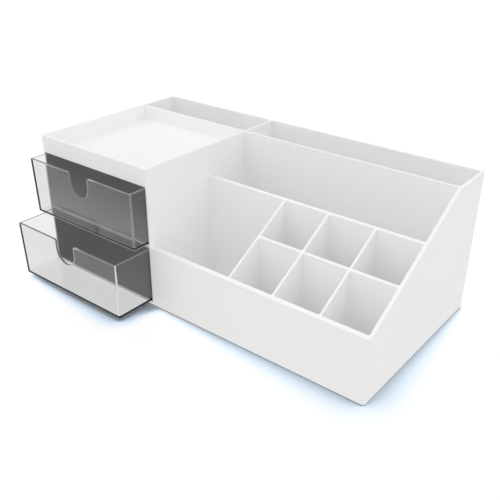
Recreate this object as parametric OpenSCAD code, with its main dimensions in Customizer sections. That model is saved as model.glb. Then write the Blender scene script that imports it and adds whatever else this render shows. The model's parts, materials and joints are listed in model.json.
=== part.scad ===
// Desk organizer: a white moulded body with two clear drawers that pull out of the front.
// Lengths are in millimetres. +X is the organizer's right, -Y its front, +Z up.
// The origin is the centre of the body's footprint, on the surface that the organizer stands on.

/* [Body] */
// Width of the body, left to right
body_w = 340; // [310:1:380]
// Depth of the body, front to back
body_d = 168; // [160:1:190]
// Height of the body's full-height walls, without the feet
body_h = 125; // [122:1:140]
// Height of the low front wall, where the slope starts
front_h = 55.5; // [45:0.5:70]
// Thickness of the outer walls
outer_t = 3; // [2.5:0.1:4]
// Thickness of the dividers and inner walls
divider_t = 2; // [1.6:0.1:2.6]
// Thickness of the floor
floor_t = 2.5; // [2:0.1:4]
// Radius of the body's four upright corners
corner_r = 2.5; // [1:0.1:3]

/* [Drawer bays] */
// Clear width of both bays
bay_w = 128; // [118:1:134]
// Clear height of one bay
bay_h = 52.2; // [51.8:0.1:53]
// Thickness of the shelf between the bays
shelf_t = 2.5; // [1.8:0.1:3]
// Thickness of the roof of the upper bay, which is the floor of the tray
roof_t = 2; // [1.6:0.1:3]

/* [Compartments] */
// Middle of the divider in front of the two tall rear slots, from the front of the body
rear_divider_y = 124.5; // [124:0.5:140]
// Middle of the divider behind the row of cells, from the front of the body
mid_divider_y = 74.5; // [66:0.5:84]
// Middle of the divider between the front and the back cells, from the front of the body
cross_divider_y = 39.5; // [34:0.5:45]
// Middle of the first cell partition, from the left side of the body
first_partition_x = 215.1; // [195:0.1:225]
// Distance from one cell partition to the next
cell_pitch = 41.5; // [34:0.1:41.8]

/* [Drawers] */
// Width of a drawer at its rim
drawer_w = 127; // [112:0.5:127.4]
// Depth of a drawer at its rim
drawer_d = 120; // [100:1:122]
// Height of a drawer
drawer_h = 50.7; // [45:0.1:51]
// Thickness of a drawer's walls and floor
drawer_t = 2; // [1.5:0.1:3]
// How far each side of a drawer leans in from its rim to its floor
drawer_draft = 0.9; // [0:0.1:2]
// Width of the finger notch in a drawer's front
notch_w = 23; // [18:0.5:30]
// Depth of the finger notch below the rim
notch_depth = 20.5; // [16:0.5:30]
// Radius that softens the notch's two upper corners
notch_lip_r = 2; // [0.5:0.1:3]
// How far the upper drawer stands open
upper_pull = 16; // [0:1:85]
// How far the lower drawer stands open
lower_pull = 37.5; // [0:0.5:85]

/* [Feet] */
// Diameter of a stick-on foot
foot_d = 12; // [8:0.5:16]
// Thickness of a stick-on foot
foot_t = 1; // [0.8:0.1:3]
// Distance from the body's sides to the middle of a foot
foot_inset = 14; // [9:0.5:20]

/* [Hidden] */

$fn = 64;
white = [0.95, 0.95, 0.95];
smoke = [0.62, 0.63, 0.65, 0.45];
foam = [0.86, 0.87, 0.88];

// Clearance under a drawer, so that it slides on its bay's floor without touching at rest
drawer_gap = 0.3;
// Length that a cutter runs past the face it starts from
past = 1;

// Inner faces of the end walls and of the rear wall
left_in = outer_t;
right_in = body_w - outer_t;
rear_in = body_d - outer_t;
// Left and right faces of the wall beside the drawers
bay_wall_left = left_in + bay_w;
bay_wall_right = bay_wall_left + divider_t;
// Front face of the divider that closes the drawer bays and the long compartment
bay_depth = rear_divider_y - divider_t/2;
// Heights in the drawer block, from the underside of the body
shelf_z = floor_t + bay_h;
upper_bay_z = shelf_z + shelf_t;
roof_z = upper_bay_z + bay_h;
tray_z = roof_z + roof_t;

// Height of the sloping edge at y: it climbs in one straight line from the
// front face to the rear divider, and is level behind it
function slope_z(y) = min(body_h, front_h + (body_h - front_h)*y/bay_depth);
function partition_x(i) = first_partition_x + (i - 1)*cell_pitch;

// Moves a shape from the body's front left corner to the organizer's own frame
module placed() {
    translate([-body_w/2, -body_d/2, foot_t]) children();
}

// Plan outline of the body, with its four corners rounded
module footprint() {
    translate([corner_r, 0]) square([body_w - 2*corner_r, body_d]);
    translate([0, corner_r]) square([body_w, body_d - 2*corner_r]);
    for (x = [corner_r, body_w - corner_r], y = [corner_r, body_d - corner_r])
        translate([x, y]) circle(r = corner_r);
}

// Keeps the part of a wall that lies inside the rounded footprint
module inside_footprint() {
    intersection() {
        children();
        linear_extrude(height = body_h) footprint();
    }
}

// Plate with straight sides, from one corner to the opposite one
module plate(low, high) {
    translate(low) cube(high - low);
}

// Upright plate from x1 to x2 whose side view is an outline of [y, z] points
module side_profile(x1, x2, outline) {
    translate([x1, 0, 0]) rotate([90, 0, 90])
        linear_extrude(height = x2 - x1) polygon(outline);
}

// Wall or divider from x1 to x2 and y1 to y2, whose top follows the slope
module sloped_wall(x1, x2, y1, y2) {
    side_profile(x1, x2, [
        [y1, floor_t], [y2, floor_t], [y2, slope_z(y2)], [y1, slope_z(y1)]
    ]);
}

module floor_plate() {
    color(white) placed() linear_extrude(height = floor_t) footprint();
}

module left_end_wall() {
    color(white) placed() inside_footprint()
        plate([0, 0, floor_t], [left_in, body_d, body_h]);
}

module right_end_wall() {
    color(white) placed() inside_footprint()
        side_profile(right_in, body_w, [
            [0, floor_t], [body_d, floor_t], [body_d, body_h],
            [bay_depth, body_h], [0, front_h]
        ]);
}

module rear_wall() {
    color(white) placed() plate([left_in, rear_in, floor_t], [right_in, body_d, body_h]);
}

module front_wall() {
    color(white) placed() sloped_wall(bay_wall_right, right_in, 0, outer_t);
}

module rear_slot_divider() {
    color(white) placed()
        plate([left_in, bay_depth, floor_t], [right_in, bay_depth + divider_t, body_h]);
}

module rear_slot_partition() {
    color(white) placed()
        plate([bay_wall_left, bay_depth + divider_t, floor_t], [bay_wall_right, rear_in, body_h]);
}

module bay_side_wall() {
    color(white) placed()
        plate([bay_wall_left, 0, floor_t], [bay_wall_right, bay_depth, body_h]);
}

module bay_shelf() {
    color(white) placed()
        plate([left_in, 0, shelf_z], [bay_wall_left, bay_depth, upper_bay_z]);
}

module tray_floor() {
    color(white) placed()
        plate([left_in, outer_t, roof_z], [bay_wall_left, bay_depth, tray_z]);
}

module tray_front_rim() {
    color(white) placed()
        plate([left_in, 0, roof_z], [bay_wall_left, outer_t, body_h]);
}

module mid_divider() {
    color(white) placed()
        sloped_wall(bay_wall_right, right_in,
                    mid_divider_y - divider_t/2, mid_divider_y + divider_t/2);
}

// Partition between two columns of cells, from the front wall to the mid divider
module cell_partition(i) {
    color(white) placed()
        sloped_wall(partition_x(i) - divider_t/2, partition_x(i) + divider_t/2,
                    outer_t, mid_divider_y - divider_t/2);
}

// Divider between the front and the back cell of a column; the last one meets the end wall
module cross_divider(i) {
    color(white) placed()
        sloped_wall(partition_x(i) + divider_t/2,
                    i < 3 ? partition_x(i + 1) - divider_t/2 : right_in,
                    cross_divider_y - divider_t/2, cross_divider_y + divider_t/2);
}

// Solid block with four leaning sides. Its rim is w by d at height h, and its
// lowest face is at height base; every side leans in by drawer_draft over the drawer's height.
module leaning_block(w, d, base, h) {
    lean = drawer_draft*(1 - base/drawer_h);
    lean_top = drawer_draft*(1 - h/drawer_h);
    intersection() {
        translate([0, d, 0]) rotate([90, 0, 0]) linear_extrude(height = d)
            polygon([
                [-w/2 + lean, base], [w/2 - lean, base],
                [w/2 - lean_top, h], [-w/2 + lean_top, h]
            ]);
        side_profile(-w/2, w/2, [
            [lean, base], [d - lean, base], [d - lean_top, h], [lean_top, h]
        ]);
    }
}

// Front view of the finger notch, centred on x = 0, with its rim at y = drawer_h
module notch_outline() {
    r = notch_w/2;
    translate([0, drawer_h - notch_depth + r]) circle(r = r);
    translate([-r, drawer_h - notch_depth + r]) square([notch_w, notch_depth - r + past]);
    for (side = [-1, 1])
        difference() {
            translate([side*(r + notch_lip_r/2), drawer_h - notch_lip_r/2])
                square(notch_lip_r, center = true);
            translate([side*(r + notch_lip_r), drawer_h - notch_lip_r]) circle(r = notch_lip_r);
        }
}

// One drawer, centred on x = 0, with its front rim at y = 0 and its underside at z = 0
module drawer() {
    inner_w = drawer_w - 2*drawer_t;
    inner_d = drawer_d - 2*drawer_t;
    front_reach = drawer_t + drawer_draft + past;
    difference() {
        leaning_block(drawer_w, drawer_d, 0, drawer_h);
        // Straight block above the rim opens the hollow without a thin skin
        translate([0, drawer_t, 0]) {
            leaning_block(inner_w, inner_d, drawer_t, drawer_h);
            translate([-inner_w/2, 0, drawer_h - 0.01]) cube([inner_w, inner_d, past]);
        }
        translate([0, front_reach, 0]) rotate([90, 0, 0])
            linear_extrude(height = front_reach + past) notch_outline();
    }
}

// Drawer standing open by pull, in the bay whose floor is at bay_floor_z
module drawer_in_bay(bay_floor_z, pull) {
    color(smoke) placed()
        translate([left_in + bay_w/2, -pull, bay_floor_z + drawer_gap]) drawer();
}

module upper_drawer() { drawer_in_bay(upper_bay_z, upper_pull); }
module lower_drawer() { drawer_in_bay(floor_t, lower_pull); }

// Stick-on foot near the corner given by side (-1 left, 1 right) and end (-1 front, 1 rear)
module foot(side, end) {
    color(foam)
        translate([side*(body_w/2 - foot_inset), end*(body_d/2 - foot_inset), 0])
            cylinder(d = foot_d, h = foot_t);
}

floor_plate();
left_end_wall();
right_end_wall();
rear_wall();
front_wall();
rear_slot_divider();
rear_slot_partition();
bay_side_wall();
bay_shelf();
tray_floor();
tray_front_rim();
mid_divider();
cell_partition(1);  // cell_partition_1
cell_partition(2);  // cell_partition_2
cell_partition(3);  // cell_partition_3
cross_divider(1);  // cross_divider_1
cross_divider(2);  // cross_divider_2
cross_divider(3);  // cross_divider_3
upper_drawer();
lower_drawer();
foot(-1, -1);  // foot_front_left
foot(1, -1);  // foot_front_right
foot(-1, 1);  // foot_rear_left
foot(1, 1);  // foot_rear_right
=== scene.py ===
# %% [markdown]
# # A desk organizer in white and clear plastic
# The real object is one white moulding, two clear drawers that slide in bays on its left, and
# four thin stick-on feet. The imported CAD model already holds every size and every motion. This
# notebook gives it its looks: rounded moulded edges, thin clear walls that bend light, and the
# fine skin that a polished steel mould leaves on plastic. Nothing here moves or resizes a part.

# %% Load the frame
import json
import math
import bmesh
import bpy
from mathutils import Matrix, Vector

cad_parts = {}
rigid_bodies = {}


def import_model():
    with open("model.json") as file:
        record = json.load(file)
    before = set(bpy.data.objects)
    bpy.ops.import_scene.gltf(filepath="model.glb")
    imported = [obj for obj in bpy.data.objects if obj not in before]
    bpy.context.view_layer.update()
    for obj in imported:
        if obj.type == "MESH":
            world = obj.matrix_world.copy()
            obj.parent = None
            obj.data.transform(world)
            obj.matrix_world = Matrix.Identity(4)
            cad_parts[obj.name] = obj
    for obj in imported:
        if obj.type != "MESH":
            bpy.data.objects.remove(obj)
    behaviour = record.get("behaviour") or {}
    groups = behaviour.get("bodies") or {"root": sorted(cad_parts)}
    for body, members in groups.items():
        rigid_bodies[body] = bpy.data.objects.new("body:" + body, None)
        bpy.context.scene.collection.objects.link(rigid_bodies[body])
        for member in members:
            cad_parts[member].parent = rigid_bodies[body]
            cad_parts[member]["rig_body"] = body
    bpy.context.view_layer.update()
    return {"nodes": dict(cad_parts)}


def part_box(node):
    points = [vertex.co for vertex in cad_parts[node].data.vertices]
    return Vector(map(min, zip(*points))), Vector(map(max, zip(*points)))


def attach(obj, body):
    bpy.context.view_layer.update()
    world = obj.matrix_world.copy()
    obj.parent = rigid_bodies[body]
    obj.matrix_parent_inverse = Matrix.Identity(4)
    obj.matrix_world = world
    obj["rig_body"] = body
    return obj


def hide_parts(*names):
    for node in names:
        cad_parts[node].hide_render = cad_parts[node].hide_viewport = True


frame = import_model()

MM = 0.001

# %% [markdown]
# ## The sizes, read from the frame
# A wall that moves in CAD has to move here too, so no size is typed in twice. Each CAD node's
# box gives its low and its high corner, and the walls' faces give the hollows between them.

# %% Faces of the walls, as the frame has them
def low(node):
    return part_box(node)[0]


def high(node):
    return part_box(node)[1]


LEFT, RIGHT = low("left_end_wall").x, high("right_end_wall").x
FRONT, REAR = low("left_end_wall").y, high("rear_wall").y
BOTTOM, TOP = low("floor_plate").z, high("left_end_wall").z
LEFT_IN, RIGHT_IN = high("left_end_wall").x, low("right_end_wall").x
FRONT_IN, REAR_IN = high("front_wall").y, low("rear_wall").y
FLOOR = high("floor_plate").z
BAY_RIGHT, CELLS_LEFT = low("bay_side_wall").x, high("bay_side_wall").x
BAY_BACK = low("rear_slot_divider").y
SLOPE = ((high("mid_divider").z - high("front_wall").z)
         / (high("mid_divider").y - high("front_wall").y))
FRONT_HEIGHT = high("front_wall").z - SLOPE*(FRONT_IN - FRONT) - BOTTOM
print("body:", [round(v/MM, 1) for v in (RIGHT - LEFT, REAR - FRONT, TOP - BOTTOM)], "mm")
print("front height:", round(FRONT_HEIGHT/MM, 2), "mm, slope:", round(SLOPE, 3))

# %% [markdown]
# ## The camera
# A product picture is taken from a little above and to one side, so that the front, the inside
# and one end all show. The lens is a normal one, about 50 mm on a 36 mm sensor, from about
# 60 cm away: close enough that the far end looks smaller, as it does on a desk. A camera can be
# pointed by a constraint that tracks an empty. Here it has a place and three angles, as on a
# tripod head: how far it turns round, how far it looks down and how level it is.

# %% Camera
CAMERA_AT = Vector((0.3368, -0.4261, 0.3218))
CAMERA_TURN, CAMERA_TILT, CAMERA_ROLL = 38.21, 28.0, 0.53
FOCAL_LENGTH, SENSOR = 49.29, 36.0


def direction(turn, tilt):
    """Points turn degrees round from the front and tilt degrees up."""
    turn, tilt = math.radians(turn), math.radians(tilt)
    return Vector((math.sin(turn)*math.cos(tilt), -math.cos(turn)*math.cos(tilt), math.sin(tilt)))


def make_camera():
    data = bpy.data.cameras.new("product_camera")
    data.lens, data.sensor_width = FOCAL_LENGTH, SENSOR
    data.clip_start, data.clip_end = 0.01, 20.0
    camera = bpy.data.objects.new("product_camera", data)
    bpy.context.scene.collection.objects.link(camera)
    camera.rotation_mode = "QUATERNION"
    look = (-direction(CAMERA_TURN, CAMERA_TILT)).to_track_quat("-Z", "Y")
    camera.rotation_quaternion = look @ Matrix.Rotation(
        math.radians(CAMERA_ROLL), 3, "Z").to_quaternion()
    camera.location = CAMERA_AT
    bpy.context.scene.camera = camera
    return camera


camera = make_camera()
print("camera at", [round(c, 3) for c in camera.location], "lens", round(FOCAL_LENGTH, 1), "mm")

# %% [markdown]
# ## Writing node trees as formulas
# Both the shape of the body and every finish are node trees. Wiring them socket by socket is
# hard to read, so one small class wraps a socket: arithmetic on it adds Math nodes, and `node`
# adds any other node and returns its output.

# %% Node helpers
class Wire:
    """One output of a node. Arithmetic on it adds Math nodes to its tree."""

    def __init__(self, graph, socket):
        self.graph, self.socket = graph, socket

    def output(self, name):
        return Wire(self.graph, self.socket.node.outputs[name])

    def math(self, operation, *others):
        return self.graph.node("ShaderNodeMath", (self, *others), operation=operation)

    def __add__(self, other):
        return self.math("ADD", other)

    def __sub__(self, other):
        return self.math("SUBTRACT", other)

    def __rsub__(self, other):
        return self.graph.node("ShaderNodeMath", (other, self), operation="SUBTRACT")

    def __mul__(self, other):
        return self.math("MULTIPLY", other)

    def __truediv__(self, other):
        return self.math("DIVIDE", other)

    __radd__, __rmul__ = __add__, __mul__


class Graph:
    """A node tree that is written from Python."""

    def __init__(self, tree):
        self.tree = tree

    def end(self, kind, inputs):
        """The tree's last node, which has no output."""
        made = self.tree.nodes.new(kind)
        for i, value in enumerate(inputs):
            self.tree.links.new(value.socket, made.inputs[i])

    def node(self, kind, inputs=(), output=0, stops=None, **settings):
        """Adds a node with its settings, a ramp's stops, and values or wires for its inputs."""
        made = self.tree.nodes.new(kind)
        for name, value in settings.items():
            setattr(made, name, value)
        if stops:
            ramp = made.color_ramp.elements
            while len(ramp) < len(stops):
                ramp.new(1.0)
            for element, (place, colour) in zip(ramp, stops):
                element.position, element.color = place, colour
        pairs = inputs.items() if isinstance(inputs, dict) else enumerate(inputs)
        for key, value in pairs:
            if isinstance(value, Wire):
                self.tree.links.new(value.socket, made.inputs[key])
            else:
                made.inputs[key].default_value = value
        return Wire(self, made.outputs[output])


def grey(level):
    """A colour with the same red, green and blue."""
    return (level, level, level, 1.0)


print("a formula such as 1 - wire*2 now adds its own Math nodes")

# %% [markdown]
# ## The cores that shape the white body
# The body is one moulding. Steel cores are pushed into a block-shaped space, and each one leaves
# a hollow: a slot, a cell, the tray, or a drawer bay. So the body can be made as it is moulded, a
# block less its cores, and the rounded edges of a core become the soft inside corners that
# plastic needs. Gluing eighteen plates together gives the same walls, but leaves seams that the
# real one doesn't have. The cells are a grid, so a loop lists their cores.

# %% List the cores
OPEN = 10*MM             # how far a core stands out past the rim that it leaves through
CORE_RADIUS = 1.0*MM     # rounds every edge of a core
CORE_STEPS = 4


def cell_cores():
    """Low and high corners of the cores of the open compartment and the cells."""
    sides = [CELLS_LEFT]
    for i in (1, 2, 3):
        sides += [low(f"cell_partition_{i}").x, high(f"cell_partition_{i}").x]
    sides += [RIGHT_IN]
    cross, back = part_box("cross_divider_1"), low("mid_divider").y
    found = [((sides[0], FRONT_IN, FLOOR), (sides[1], back, TOP + OPEN))]
    for left, right in zip(sides[2::2], sides[3::2]):
        for near, far in ((FRONT_IN, cross[0].y), (cross[1].y, back)):
            found.append(((left, near, FLOOR), (right, far, TOP + OPEN)))
    return found


def slot_cores():
    """The long compartment and the two tall slots behind it."""
    near, far = high("rear_slot_divider").y, REAR_IN
    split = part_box("rear_slot_partition")
    return [
        ((CELLS_LEFT, high("mid_divider").y, FLOOR), (RIGHT_IN, BAY_BACK, TOP + OPEN)),
        ((LEFT_IN, near, FLOOR), (split[0].x, far, TOP + OPEN)),
        ((split[1].x, near, FLOOR), (RIGHT_IN, far, TOP + OPEN))]


def block_cores():
    """The tray, and the two drawer bays that open to the front."""
    shelf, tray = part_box("bay_shelf"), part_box("tray_floor")
    return [
        ((LEFT_IN, tray[0].y, tray[1].z), (BAY_RIGHT, BAY_BACK, TOP + OPEN)),
        ((LEFT_IN, FRONT - OPEN, FLOOR), (BAY_RIGHT, BAY_BACK, shelf[0].z)),
        ((LEFT_IN, FRONT - OPEN, shelf[1].z), (BAY_RIGHT, BAY_BACK, tray[0].z))]


CORES = cell_cores() + slot_cores() + block_cores()
print(len(CORES), "cores leave the hollows")

# %% Make the cores as one mesh
def add_rounded_box(mesh, corner, far_corner, radius, steps):
    """Adds a box whose edges are all rounded to a bmesh."""
    corner, far_corner = Vector(corner), Vector(far_corner)
    made = bmesh.ops.create_cube(mesh, size=1.0)["verts"]
    for vertex in made:
        for axis in range(3):
            side = far_corner if vertex.co[axis] > 0 else corner
            vertex.co[axis] = side[axis]
    edges = list({edge for vertex in made for edge in vertex.link_edges})
    bmesh.ops.bevel(mesh, geom=edges, offset=radius, segments=steps, profile=0.5,
                    affect="EDGES", clamp_overlap=False)


def new_piece(name, mesh):
    """Turns a bmesh into an object at the origin."""
    data = bpy.data.meshes.new(name)
    mesh.to_mesh(data)
    mesh.free()
    piece = bpy.data.objects.new(name, data)
    bpy.context.scene.collection.objects.link(piece)
    return piece


mesh = bmesh.new()
for corner, far_corner in CORES:
    add_rounded_box(mesh, corner, far_corner, CORE_RADIUS, CORE_STEPS)
body = new_piece("white_body", mesh)
print("the cores have", len(body.data.polygons), "faces")

# %% [markdown]
# ## The white body as a Geometry Nodes tree
# The block, its rounded corners and its sloping cut follow a rule, so they are one tree with
# named inputs: change the front height, and the whole slope follows. The cores come in as the
# geometry that the tree is put on, and the last step takes them away from the block.

# %% Build the tree
def new_shape_tree(name, inputs):
    tree = bpy.data.node_groups.new(name, "GeometryNodeTree")
    for label, kind in [("Geometry", "Geometry")] + inputs:
        tree.interface.new_socket(label, in_out="INPUT", socket_type="NodeSocket" + kind)
    tree.interface.new_socket("Geometry", in_out="OUTPUT", socket_type="NodeSocketGeometry")
    return tree


def sloping_cut(g, given, width, depth, height):
    """A big box, turned until its underside lies on the slope."""
    rise, run = height - given.output("Front Height"), given.output("Slope Run")
    slant = rise.math("ARCTAN2", run)
    sine, cosine = slant.math("SINE"), slant.math("COSINE")
    reach = width*2
    centre = g.node("ShaderNodeCombineXYZ", [
        given.output("Slope Left") + reach/2,
        depth/-2 - sine*reach/2,
        given.output("Underside") + given.output("Front Height") + cosine*reach/2])
    turn = g.node("ShaderNodeCombineXYZ", [slant, 0.0, 0.0])
    size = g.node("ShaderNodeCombineXYZ", [reach, reach, reach])
    return g.node("GeometryNodeTransform", {
        "Geometry": g.node("GeometryNodeMeshCube", {"Size": size}),
        "Translation": centre, "Rotation": turn})


def body_tree():
    tree = new_shape_tree("moulded_body", [
        ("Width", "Float"), ("Depth", "Float"), ("Height", "Float"), ("Underside", "Float"),
        ("Corner Radius", "Float"), ("Corner Steps", "Int"),
        ("Front Height", "Float"), ("Slope Run", "Float"), ("Slope Left", "Float"),
        ("Plastic", "Material")])
    g = Graph(tree)
    given = g.node("NodeGroupInput", output="Geometry")
    width, depth, height = (given.output(n) for n in ("Width", "Depth", "Height"))

    outline = g.node("GeometryNodeCurvePrimitiveQuadrilateral",
                     {"Width": width, "Height": depth})
    outline = g.node("GeometryNodeFilletCurve", {
        "Curve": outline, "Radius": given.output("Corner Radius"),
        "Count": given.output("Corner Steps")}, mode="POLY")
    sheet = g.node("GeometryNodeFillCurve", {"Curve": outline}, mode="NGONS")
    lifted = g.node("ShaderNodeCombineXYZ", [0.0, 0.0, given.output("Underside")])
    sheet = g.node("GeometryNodeTransform", {"Geometry": sheet, "Translation": lifted})
    upper = g.node("GeometryNodeExtrudeMesh", {"Mesh": sheet, "Offset Scale": height},
                   mode="FACES")
    under = g.node("GeometryNodeFlipFaces", [sheet])
    block = g.node("GeometryNodeJoinGeometry")
    for part in (upper, under):
        tree.links.new(part.socket, block.socket.node.inputs[0])
    block = g.node("GeometryNodeMergeByDistance", {"Geometry": block, "Distance": WELD})

    for tool in (sloping_cut(g, given, width, depth, height), given):
        block = g.node("GeometryNodeMeshBoolean", {"Mesh 1": block, "Mesh 2": tool},
                       operation="DIFFERENCE", solver="EXACT")
    block = g.node("GeometryNodeRealizeInstances", [block])
    block = g.node("GeometryNodeSetMaterial", {
        "Geometry": block, "Material": given.output("Plastic")})
    g.end("NodeGroupOutput", [block])
    return tree


WELD = 0.001*MM          # points closer than this are one point
BODY_CORNER = 2.5*MM     # of the four upright outer corners
BODY_CORNER_STEPS = 8
body_shape = body_tree()
print("the body's tree has", len(body_shape.nodes), "nodes")

# %% [markdown]
# ## The finishes, one function each
# Three plastics: white and satin, clear and smoky, and a thin foam for the feet. Each is worked
# out from where a point is on the object, so no picture is needed and nothing slides when a
# drawer moves.

# %% Start a finish
def new_finish(name):
    material = bpy.data.materials.new(name)
    material.use_nodes = True
    material.node_tree.nodes.clear()
    return material, Graph(material.node_tree)


def noise(g, place, scale, detail=2.0):
    return g.node("ShaderNodeTexNoise", {
        "Vector": place, "Scale": scale, "Detail": detail, "Roughness": 0.5}, output="Fac")


def climb(value, start, stop):
    """0 before start and 1 beyond stop, with a straight slope between them."""
    share = (value - start)/(stop - start)
    share.socket.node.use_clamp = True
    return share


def between(value, start, stop, blur):
    """1 where start < value < stop and 0 outside, over a soft edge."""
    return climb(value, start, start + blur) * climb(value, stop, stop - blur)


def mix_colour(g, factor, first, second):
    return g.node("ShaderNodeMix", {0: factor, 6: first, 7: second}, output=2,
                  data_type="RGBA", clamp_factor=True)


# %% [markdown]
# ### White moulded plastic
# White polystyrene from a polished mould is satin: it shows soft highlights, and under a lamp a
# faint waviness where the thick and thin walls cooled at different speeds. A fine grain breaks
# the gloss a little. The walls are thin enough for light to soak through, which subsurface
# scattering could work out at a high cost. A weak glow in the wall's own colour does the same
# for even light. Inside the drawer bays little light gets round the drawers, and they read as a
# dark grey. So that shade is painted into the colour from just behind the front edge, and a
# painted glow keeps the front of the shelf, which light reaches through the upper drawer, a little
# lighter.

# %% White finish
WHITE, WHITE_WARM = grey(0.895), (0.905, 0.905, 0.9, 1.0)
CLOUDS, WAVES, GRAIN = 14.0, 30.0, 2600.0     # scales of the three noises, per metre
# painted shade on the inner faces of the drawer bays, where little light gets round the drawers
BAY_PAINTED_SHADE = grey(0.13)
WALL_LEAK = grey(0.055)                       # light that soaks through the walls
# a painted glow inside the bays, brighter on the front of the shelf where light comes through the
# upper drawer
BAY_LEAK, MOUTH_LEAK = grey(0.09), grey(0.18)
BAY_FADE, SHELF_FADE = 60*MM, 24*MM           # how far in and up the light on the shelf shows
SHELF_EDGE_SHADE = 0.68
RIM_RADIUS = 0.4*MM                           # of every rim and outer edge of the body
SKIN, BLUR = 0.4*MM, 0.2*MM                   # a mask's reach past a wall's face, and its blur


def bay_shade_mask(g, place):
    """Painted shade: 1 on the inner faces of the drawer bays, and less on the shelf's front edge.
    """
    split = g.node("ShaderNodeSeparateXYZ", [place], output="X")
    x, y, z = (split.output(n) for n in "XYZ")
    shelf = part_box("bay_shelf")
    across = between(x, LEFT_IN - SKIN, BAY_RIGHT + SKIN, BLUR)
    inside = (between(y, FRONT + RIM_RADIUS, BAY_BACK + SKIN, BLUR)
              * between(z, FLOOR - SKIN, low("tray_floor").z + SKIN, BLUR))
    edge = (between(y, FRONT - SKIN, FRONT + 2*RIM_RADIUS, BLUR)
            * between(z, shelf[0].z, shelf[1].z, BLUR) * SHELF_EDGE_SHADE)
    return across * inside.math("MAXIMUM", edge)


def shelf_painted_glow(g, place):
    """Painted glow: 1 at the front of the shelf, fading inwards and up the walls of the upper bay.
    """
    split = g.node("ShaderNodeSeparateXYZ", [place], output="Y")
    y, z = split, split.output("Z")
    shelf = high("bay_shelf").z
    upper_bay = climb(z, shelf - SKIN - BLUR, shelf - SKIN)
    return upper_bay * climb(y, FRONT + BAY_FADE, FRONT) * climb(z, shelf + SHELF_FADE, shelf)


def white_plastic():
    material, g = new_finish("white_polystyrene")
    place = g.node("ShaderNodeTexCoord", output="Object")
    clouds, waves, grain = (noise(g, place, scale) for scale in (CLOUDS, WAVES, GRAIN))
    colour = mix_colour(g, clouds, WHITE, WHITE_WARM)
    bay, lit = bay_shade_mask(g, place), shelf_painted_glow(g, place)
    # the bays' painted shade goes into the colour, and their painted glow into the emission
    colour = mix_colour(g, bay, colour, BAY_PAINTED_SHADE)
    leak = mix_colour(g, bay, WALL_LEAK, mix_colour(g, lit, BAY_LEAK, MOUTH_LEAK))
    bump = g.node("ShaderNodeBump", {
        "Height": waves + grain*0.02, "Strength": 0.25, "Distance": 0.2*MM})
    skin = g.node("ShaderNodeBsdfPrincipled", {
        "Base Color": colour, "Roughness": 0.34 + clouds*0.06 + grain*0.04, "Normal": bump,
        "IOR": 1.5, "Emission Color": leak, "Emission Strength": 1.0})
    g.end("ShaderNodeOutputMaterial", [skin])
    return material


# %% [markdown]
# ### Clear smoke plastic
# The drawers are clear polystyrene with a little grey dye. A wall 2 mm thick takes about a
# seventh of the light, and an edge, where light has run the length of a wall, looks far darker.
# A tint on the surfaces alone would leave the edges pale, so a volume takes light in the bulk
# too. The index is set below polystyrene's 1.59, because mirror images inside the flat walls are
# softer on real mouldings, which are never quite flat. Light that runs along a wall comes out at
# its rim, at the notch and at the corners, so those faces glow a little. Lamps shine through by
# a plain transparent shader, which stands in for light that real walls focus into bright
# patches.

# %% Smoke finish
SMOKE_TINT = grey(0.868)     # what the two surfaces of a wall let through
SMOKE_DENSITY = 8.0          # absorption per metre of plastic, so 1.6 % is lost in 2 mm
SMOKE_INDEX, SMOKE_GLOSS = 1.38, 0.02
# a painted glow: emission on the rim, notch, corner and lower-edge faces stands in for light
# leaving the walls
PAINTED_EDGE_GLOW = grey(0.36)       # of the brightest edge
LAMP_SHARE = grey(0.92)      # of a lamp's light that passes a surface
SMOKE_WAVES = 26.0           # scale of the waviness, per metre


def smoke_plastic():
    material, g = new_finish("smoke_polystyrene")
    place = g.node("ShaderNodeTexCoord", output="Object")
    waves = noise(g, place, SMOKE_WAVES, detail=1.0)
    bump = g.node("ShaderNodeBump", {"Height": waves, "Strength": 0.12, "Distance": 0.2*MM})
    edge = g.node("ShaderNodeAttribute", output="Fac", attribute_name="edge")
    glow = mix_colour(g, edge, grey(0.0), PAINTED_EDGE_GLOW)
    clear = g.node("ShaderNodeBsdfPrincipled", {
        "Base Color": SMOKE_TINT, "Roughness": SMOKE_GLOSS, "IOR": SMOKE_INDEX,
        "Emission Color": glow, "Emission Strength": 1.0,
        "Transmission Weight": 1.0, "Normal": bump})
    passing = g.node("ShaderNodeBsdfTransparent", [LAMP_SHARE])
    lamp_ray = g.node("ShaderNodeLightPath", output="Is Shadow Ray")
    surface = g.node("ShaderNodeMixShader", [lamp_ray, clear, passing])
    bulk = g.node("ShaderNodeVolumeAbsorption", {"Color": grey(0.0), "Density": SMOKE_DENSITY})
    g.end("ShaderNodeOutputMaterial", [surface, bulk])
    return material


# %% [markdown]
# ### Foam for the feet
# A stick-on foot is punched from closed-cell foam. Its cells show as tiny pits, so a Voronoi
# pattern dents the surface and paints shade into the pits.

# %% Foam finish
FOAM_PITS = 2200.0     # scale of the pits, per metre
FOAM_PIT_SHADE, FOAM_LIGHT = (0.62, 0.63, 0.64, 1.0), (0.8, 0.81, 0.82, 1.0)


def foot_foam():
    material, g = new_finish("punched_foam")
    place = g.node("ShaderNodeTexCoord", output="Object")
    cells = g.node("ShaderNodeTexVoronoi", {"Vector": place, "Scale": FOAM_PITS},
                   output="Distance")
    # painted shade: the colour is darker where the pits are deepest; FOAM_LIGHT is the foam's own
    # colour
    colour = mix_colour(g, cells, FOAM_PIT_SHADE, FOAM_LIGHT)
    bump = g.node("ShaderNodeBump", {"Height": cells, "Strength": 0.6, "Distance": 0.1*MM})
    skin = g.node("ShaderNodeBsdfPrincipled", {
        "Base Color": colour, "Roughness": 0.85, "Normal": bump})
    g.end("ShaderNodeOutputMaterial", [skin])
    return material


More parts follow.
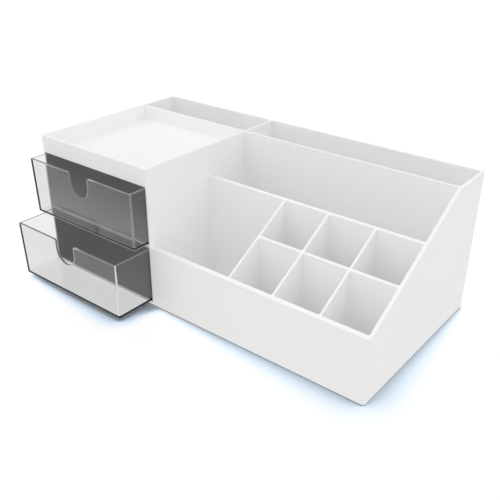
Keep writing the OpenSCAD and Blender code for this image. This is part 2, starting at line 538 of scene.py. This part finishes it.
white, smoke, foam = white_plastic(), smoke_plastic(), foot_foam()
print("finishes:", [m.name for m in (white, smoke, foam)])

# %% [markdown]
# ## Mould the body
# A modifier's inputs are set by each socket's identifier. The result is made a plain mesh and the
# modifier is dropped, so that what follows works on real faces.

# %% Run the tree on the cores
def run_tree(piece, tree, values):
    """Puts the tree on the piece, sets its inputs and makes the result a plain mesh."""
    modifier = piece.modifiers.new(tree.name, "NODES")
    modifier.node_group = tree
    for item in tree.interface.items_tree:
        if item.in_out == "INPUT" and item.name in values:
            modifier[item.identifier] = values[item.name]
    bpy.context.view_layer.update()
    seen = piece.evaluated_get(bpy.context.evaluated_depsgraph_get())
    result = bpy.data.meshes.new_from_object(seen)
    piece.modifiers.remove(modifier)
    piece.data = result


run_tree(body, body_shape, {
    "Width": RIGHT - LEFT, "Depth": REAR - FRONT, "Height": TOP - BOTTOM, "Underside": BOTTOM,
    "Corner Radius": BODY_CORNER, "Corner Steps": BODY_CORNER_STEPS,
    "Front Height": FRONT_HEIGHT, "Slope Run": BAY_BACK - FRONT - CORE_RADIUS,
    "Slope Left": CELLS_LEFT, "Plastic": white})
print("the moulded body has", len(body.data.polygons), "faces")

# %% [markdown]
# ## Soften the outer edges
# The cores gave the inside corners. What is left sharp is every rim and outer edge, and those
# lie in closed loops, which a bevel rounds cleanly. Only edges that stick out are taken: where a
# low divider runs into a tall wall, the corner points inwards and stays as it is. Such an edge is
# marked sharp, because smooth shading would bend the light over the whole rim beside it.

# %% Round the rims
CREASE = 40.0            # edges that still turn by more than this many degrees are shaded sharp
ROUND_STEPS = 3


def soften(piece, radius, least_turn):
    """Rounds every edge that sticks out and turns by more than least_turn degrees."""
    mesh = bmesh.new()
    mesh.from_mesh(piece.data)
    bmesh.ops.remove_doubles(mesh, verts=mesh.verts, dist=WELD)
    bmesh.ops.dissolve_limit(mesh, angle_limit=math.radians(1.0), verts=mesh.verts,
                             edges=mesh.edges)
    sharp = [edge for edge in mesh.edges if edge.is_convex
             and edge.calc_face_angle(0.0) > math.radians(least_turn)]
    bmesh.ops.bevel(mesh, geom=sharp, offset=radius, segments=ROUND_STEPS, profile=0.5,
                    affect="EDGES", clamp_overlap=False, loop_slide=True)
    for edge in mesh.edges:
        edge.smooth = edge.calc_face_angle(0.0) < math.radians(CREASE)
    open_edges = sum(not edge.is_manifold for edge in mesh.edges)
    mesh.to_mesh(piece.data)
    mesh.free()
    piece.data.shade_smooth()
    normals = piece.modifiers.new("flat_faces_stay_flat", "WEIGHTED_NORMAL")
    normals.keep_sharp = True
    return len(sharp), open_edges


def give_finish(piece, finish):
    """One finish on every face."""
    piece.data.materials.clear()
    piece.data.materials.append(finish)
    piece.data.polygons.foreach_set("material_index", [0]*len(piece.data.polygons))


print("edges rounded, edges left open:", soften(body, RIM_RADIUS, least_turn=35.0))
give_finish(body, white)
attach(body, "housing")
feet = ("foot_front_left", "foot_front_right", "foot_rear_left", "foot_rear_right")
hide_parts(*(n for n, o in frame["nodes"].items()
                    if o["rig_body"] == "housing" and n not in feet))

# %% [markdown]
# ## The clear drawers
# A drawer is one clear moulding: a thin box that leans in towards its floor so that it lets go of
# the mould, with soft corners inside and a finger notch in its front. Clear plastic shows every
# kink in a surface, so the box is drawn as rings that run up the outside, over the rim and down
# the inside. That gives even walls and clean curves, which a box with booleans doesn't.

# %% Rings of a drawer
WALL, LEAN = 2.0*MM, 0.9*MM
OUTER_CORNER, INNER_CORNER = 0.9*MM, 0.4*MM
OUTER_EDGE, INNER_EDGE, RIM_EDGE = 1.0*MM, 0.2*MM, 0.4*MM
ARC_STEPS = 5


def quarter():
    """Sine and cosine pairs from 0 to 90 degrees."""
    angles = [i*math.pi/2/ARC_STEPS for i in range(ARC_STEPS + 1)]
    return [(math.sin(angle), math.cos(angle)) for angle in angles]


def ring(centre, width, depth, corner, z):
    """A rectangle with round corners, level at z, anticlockwise seen from above."""
    points = []
    for turn, (sx, sy) in enumerate(((1, 1), (-1, 1), (-1, -1), (1, -1))):
        mid = Vector((centre.x + sx*(width/2 - corner), centre.y + sy*(depth/2 - corner), z))
        for sine, cosine in quarter():
            angle = turn*math.pi/2 + math.atan2(sine, cosine)
            points.append(mid + corner*Vector((math.cos(angle), math.sin(angle), 0.0)))
    return points


def drawer_rings(node):
    """The rings from the middle of the underside, round the rim, to the middle of the floor."""
    start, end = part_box(node)
    centre, width, depth = (start + end)/2, end.x - start.x, end.y - start.y
    height = end.z - start.z
    rings = []

    def add(inset, z, corner):
        lean = LEAN*(1 - z/height)
        rings.append(ring(centre, width - 2*(inset + lean), depth - 2*(inset + lean),
                          corner, start.z + z))

    for sine, cosine in quarter():
        add(OUTER_EDGE*(1 - sine), OUTER_EDGE*(1 - cosine), OUTER_CORNER - OUTER_EDGE*(1 - sine)/2)
    for sine, cosine in quarter():
        add(RIM_EDGE*(1 - cosine), height - RIM_EDGE*(1 - sine), OUTER_CORNER)
    for sine, cosine in quarter():
        add(WALL - RIM_EDGE*(1 - sine), height - RIM_EDGE*(1 - cosine), INNER_CORNER)
    for sine, cosine in quarter():
        add(WALL + INNER_EDGE*(1 - cosine), WALL + INNER_EDGE*(1 - sine),
            INNER_CORNER + INNER_EDGE*(1 - cosine))
    return rings


def ring_mesh(rings):
    """Joins the rings, in order, and closes both ends."""
    mesh = bmesh.new()
    loops = [[mesh.verts.new(point) for point in points] for points in rings]
    for near, far in zip(loops, loops[1:]):
        for i in range(len(near)):
            j = (i + 1) % len(near)
            mesh.faces.new((near[i], near[j], far[j], far[i]))
    mesh.faces.new(list(reversed(loops[0])))
    mesh.faces.new(loops[-1])
    return mesh


print("a drawer has", len(drawer_rings("upper_drawer")), "rings")

# %% [markdown]
# ### The finger notch and the bright edges
# The notch is a bite out of the front wall: a half circle, straight sides, and a small flare
# where they meet the rim. Its outline is worked out from arcs and pushed through the wall as a
# cutter. After the cut, each face gets a number that says how much of the light that runs inside
# the plastic comes out there. The lower edges in front and at the right face the lamps. Under the
# upper drawer they hang free and catch the most; the lower drawer's lie just over the table.

# %% Cut the finger notch
NOTCH_WIDTH, NOTCH_DEPTH, NOTCH_LIP = 23.0*MM, 20.5*MM, 2.0*MM
NOTCH_STEPS = 20
NOTCH_EDGE = 0.4*MM


def notch_outline(top):
    """The notch seen from the front, as x and z from its middle: round below, flared above."""
    radius = NOTCH_WIDTH/2
    centre = top - NOTCH_DEPTH + radius
    half = [(radius*math.cos(a), centre - radius*math.sin(a))
            for a in (math.pi/2*(1 - i/NOTCH_STEPS) for i in range(NOTCH_STEPS + 1))]
    half += [(radius + NOTCH_LIP*(1 - cosine), top - NOTCH_LIP*(1 - sine))
             for sine, cosine in quarter()]
    half.append((radius + NOTCH_LIP, top + OPEN))
    return half + [(-x, z) for x, z in reversed(half[1:])]


def notch_cutter(node):
    start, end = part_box(node)
    middle, near, far = (start.x + end.x)/2, start.y - OPEN, start.y + WALL + LEAN + 2*MM
    mesh = bmesh.new()
    outline = notch_outline(end.z)
    front = [mesh.verts.new((middle + x, near, z)) for x, z in outline]
    back = [mesh.verts.new((middle + x, far, z)) for x, z in outline]
    for i in range(len(front)):
        j = (i + 1) % len(front)
        mesh.faces.new((front[j], front[i], back[i], back[j]))
    mesh.faces.new(front)
    mesh.faces.new(list(reversed(back)))
    bmesh.ops.recalc_face_normals(mesh, faces=mesh.faces)
    return new_piece("notch_cutter", mesh)


# shares of the painted edge glow; the upper drawer's free lower edges get the most painted light
RIM_SHARE, CORNER_SHARE = 0.45, 0.2
UNDER_SHARE = {"upper_drawer": 1.0, "lower_drawer": 0.2}
TURNED, FLAT, UPRIGHT = 0.1, 0.9, 0.3     # parts of a normal, to tell faces apart by


def mark_edges(drawer, node):
    """Gives each face its share of PAINTED_EDGE_GLOW: at the rim, the notch, the corners and below."""
    start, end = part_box(node)
    middle, rim = (start.x + end.x)/2, end.z - RIM_EDGE - 0.01*MM
    shares = []
    for face in drawer.data.polygons:
        n, at = face.normal, face.center
        inside = min(end.x - at.x, at.x - start.x) > WALL/2
        corner = inside and abs(n.z) < UPRIGHT and min(abs(n.x), abs(n.y)) > TURNED
        by_notch = (at.y < start.y + WALL + LEAN
                    and abs(at.x - middle) < NOTCH_WIDTH/2 + NOTCH_LIP + NOTCH_EDGE)
        notch = by_notch and abs(n.y) < FLAT and at.z > end.z - NOTCH_DEPTH - NOTCH_EDGE
        under = at.z < start.z + OUTER_EDGE and n.x - n.y > TURNED
        if at.z > rim or notch:
            shares.append(RIM_SHARE)
        elif under:
            shares.append(UNDER_SHARE[node])
        else:
            shares.append(CORNER_SHARE if corner else 0.0)
    layer = drawer.data.attributes.new("edge", "FLOAT", "FACE")
    layer.data.foreach_set("value", shares)
    return sum(share > 0 for share in shares)


def make_drawer(node):
    drawer = new_piece(node + "_clear", ring_mesh(drawer_rings(node)))
    cutter = notch_cutter(node)
    cut = drawer.modifiers.new("notch", "BOOLEAN")
    cut.operation, cut.solver, cut.object = "DIFFERENCE", "EXACT", cutter
    seen = drawer.evaluated_get(bpy.context.evaluated_depsgraph_get())
    drawer.data = bpy.data.meshes.new_from_object(seen)
    drawer.modifiers.clear()
    bpy.data.objects.remove(cutter)
    print(node, "edges rounded, edges left open:", soften(drawer, NOTCH_EDGE, least_turn=60.0))
    print(node, "faces at edges:", mark_edges(drawer, node))
    for vertex in drawer.data.vertices:
        vertex.co = [min(max(c, a), b) for c, a, b in zip(vertex.co, *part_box(node))]
    give_finish(drawer, smoke)
    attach(drawer, node)
    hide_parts(node)


for node in ("upper_drawer", "lower_drawer"):
    make_drawer(node)

# %% [markdown]
# ## The feet
# Each foot is a disc punched from foam sheet, so its edge is a little rounded by the punch. A
# profile turned about the foot's axis is the shortest way to draw it.

# %% Turn the feet
FOOT_EDGE, FOOT_STEPS = 0.25*MM, 48


def make_foot(node):
    start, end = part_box(node)
    centre, radius = (start + end)/2, (end.x - start.x)/2
    profile = [(radius - FOOT_EDGE*(1 - sine), start.z + FOOT_EDGE*(1 - cosine))
               for sine, cosine in quarter()]
    profile += [(radius - FOOT_EDGE*(1 - cosine), end.z - FOOT_EDGE*(1 - sine))
                for sine, cosine in quarter()]
    turns = [2*math.pi*i/FOOT_STEPS for i in range(FOOT_STEPS)]
    mesh = ring_mesh([[Vector((centre.x + r*math.cos(a), centre.y + r*math.sin(a), z))
                       for a in turns] for r, z in profile])
    foot = new_piece(node + "_foam", mesh)
    foot.data.shade_smooth()
    foot.modifiers.new("flat_faces_stay_flat", "WEIGHTED_NORMAL")
    give_finish(foot, foam)
    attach(foot, "housing")
    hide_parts(node)


for node in feet:
    make_foot(node)
print(len(feet), "feet")

# %% [markdown]
# ## Floor and light
# A catalogue picture on pure white is shot on a lit acrylic table inside a white tent. So there is
# no single lamp: large soft lights stand in front, at both sides and behind, and the tent fills
# in the rest. Each is a sun with a very wide disc, because a sun gives every place the same
# light, and the floor stays even out to the horizon. The table looks white from all sides, but
# sends less light up than it shows, as a real one does once it is masked to the picture's edge.
# On a lit table a normal shadow hardly shows. What is left is a bluish one close to the object,
# so it is made from ambient occlusion, which measures how much of the sky the object covers. It
# is narrow at the left end of each front edge and widest at the right corner.

# %% Stage and lights
FLOOR_RADIUS = 8.0
TABLE_PAINT, TABLE_GLOW = grey(0.16), grey(0.85)
TABLE_FILL = 0.69         # share of the glow that lights the object
LEAST_REACH, DRAWER_REACH, BODY_REACH = 4*MM, 24*MM, 38*MM     # of the contact shadow
DRAWER_FADE = 15*MM       # how far the drawers' shadow takes to narrow in front of the body
SHADE = (                 # from open table to right under the object
    (0.0, TABLE_GLOW), (0.05, TABLE_GLOW), (0.25, (0.66, 0.75, 0.85, 1.0)),
    (0.42, (0.45, 0.57, 0.69, 1.0)), (0.52, (0.16, 0.2, 0.24, 1.0)), (1.0, grey(0.01)))
SOFTBOX_TILT, SOFTBOX_SPREAD = 40.0, 70.0
SOFTBOXES = (             # where each stands, in degrees round from the front, and its strength
    ("right_softbox", 100.0, 0.57), ("front_softbox", 10.0, 0.33),
    ("left_softbox", -80.0, 0.82), ("rear_softbox", 190.0, 0.14))
TENT_FILL, TENT_SEEN = 0.6, 1.0


def shade_reach(g):
    """The contact shadow widens along each front edge, from its left end to its right corner."""
    place = g.node("ShaderNodeTexCoord", output="Object")
    split = g.node("ShaderNodeSeparateXYZ", [place], output="X")
    x, y = split, split.output("Y")
    drawer = climb(x, LEFT, BAY_RIGHT) * climb(x, BAY_RIGHT + DRAWER_FADE, BAY_RIGHT)
    beyond = climb(x, BAY_RIGHT, RIGHT) * climb(y, REAR, FRONT)
    return (drawer*(DRAWER_REACH - LEAST_REACH) + beyond*(BODY_REACH - LEAST_REACH)
            + LEAST_REACH)


def make_floor():
    mesh = bmesh.new()
    bmesh.ops.create_circle(mesh, cap_ends=True, segments=96, radius=FLOOR_RADIUS)
    floor = new_piece("studio_floor", mesh)
    material, g = new_finish("lit_table")
    paint = g.node("ShaderNodeBsdfPrincipled", {"Base Color": TABLE_PAINT, "Roughness": 0.25})
    ray = g.node("ShaderNodeLightPath", output="Is Reflection Ray")
    strength = 1.0 - ray*(1.0 - TABLE_FILL)
    open_share = g.node("ShaderNodeAmbientOcclusion", {"Distance": shade_reach(g)},
                        output="AO", samples=12)
    covered = (1.0 - open_share)*ray.output("Is Camera Ray")
    colour = g.node("ShaderNodeValToRGB", [covered], stops=SHADE)
    glow = g.node("ShaderNodeEmission", [colour, strength])
    g.end("ShaderNodeOutputMaterial", [g.node("ShaderNodeAddShader", [paint, glow])])
    material.cycles.emission_sampling = "NONE"
    floor.data.materials.append(material)


def make_softbox(name, turn, strength):
    """A sun with a wide disc, that stands turn degrees round from the front."""
    data = bpy.data.lights.new(name, "SUN")
    data.energy, data.angle = strength, math.radians(SOFTBOX_SPREAD)
    sun = bpy.data.objects.new(name, data)
    sun.rotation_mode = "QUATERNION"
    sun.rotation_quaternion = direction(turn, SOFTBOX_TILT).to_track_quat("Z", "Y")
    bpy.context.scene.collection.objects.link(sun)


def make_tent():
    """The white tent, which looks brighter than the light it gives, to keep the picture white."""
    world = bpy.data.worlds.new("tent")
    bpy.context.scene.world = world
    world.use_nodes = True
    world.node_tree.nodes.clear()
    g = Graph(world.node_tree)
    looked_at = g.node("ShaderNodeLightPath", output="Is Camera Ray")
    strength = TENT_FILL + looked_at*(TENT_SEEN - TENT_FILL)
    tent = g.node("ShaderNodeBackground", [grey(1.0), strength])
    g.end("ShaderNodeOutputWorld", [tent])


make_floor()
for softbox in SOFTBOXES:
    make_softbox(*softbox)
make_tent()
bpy.context.scene.view_settings.view_transform = "Standard"
